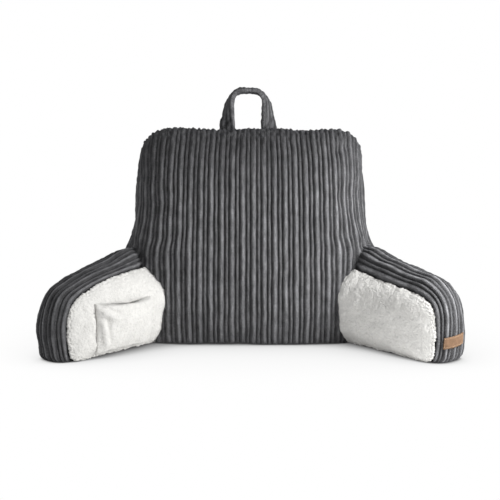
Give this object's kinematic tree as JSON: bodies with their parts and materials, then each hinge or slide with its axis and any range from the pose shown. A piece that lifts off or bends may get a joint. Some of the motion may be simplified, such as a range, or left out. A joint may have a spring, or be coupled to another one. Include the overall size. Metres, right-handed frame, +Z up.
{
  "type": "backrest pillow",
  "caption": "Filled backrest pillow with a wedge back, two splayed arms with fleece inner faces, a patch pocket and a carry loop.",
  "frame": {"origin": "centre of the footprint, on the surface the pillow rests on", "axes": "+X to the right seen from the front, +Y to the rear, +Z up; the arms reach forward along -Y"},
  "size_m": [0.745, 0.4096, 0.484],
  "materials": {
    "ribbed_plush": "short pile, wide and narrow ribs in turn",
    "fleece": "curly cream pile",
    "patch": "matt, bare"
  },
  "bodies": {
    "root": {"back_cushion": "ribbed_plush", "arm_left": "ribbed_plush", "arm_right": "ribbed_plush", "inner_panel_left": "fleece", "inner_panel_right": "fleece", "pocket_left": "fleece", "handle": "ribbed_plush", "label": "patch"}
  },
  "joints": []
}
